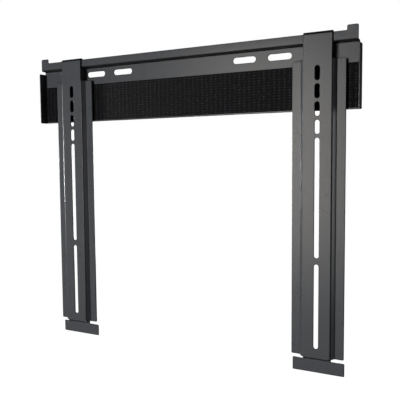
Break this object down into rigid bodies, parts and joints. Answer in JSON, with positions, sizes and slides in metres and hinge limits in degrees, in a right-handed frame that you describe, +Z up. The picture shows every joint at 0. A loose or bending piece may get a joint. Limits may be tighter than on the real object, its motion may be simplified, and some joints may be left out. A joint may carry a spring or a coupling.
{
  "type": "fixed tv wall bracket",
  "caption": "Flat fixed wall bracket: folded steel wall rail with a hanging lip and hook tape, carrying hooked, slotted vertical arms for a television.",
  "frame": {"origin": "on the wall plane behind the rail, midway along the rail, on the middle line of the wall slots", "axes": "+X along the rail to the right as seen from the room, +Y into the wall, +Z up"},
  "size_m": [0.598, 0.0147, 0.5168],
  "materials": {
    "black_paint": "semi-gloss powder coat",
    "hook_tape": "matt woven nylon with hooks",
    "loop_tape": "matt brushed nylon"
  },
  "bodies": {
    "root": {"wall_rail": "black_paint", "hook_tape": "hook_tape", "left_arm": "black_paint", "right_arm": "black_paint", "left_arm_left_pad": "loop_tape", "left_arm_right_pad": "loop_tape", "right_arm_left_pad": "loop_tape", "right_arm_right_pad": "loop_tape"}
  },
  "joints": []
}
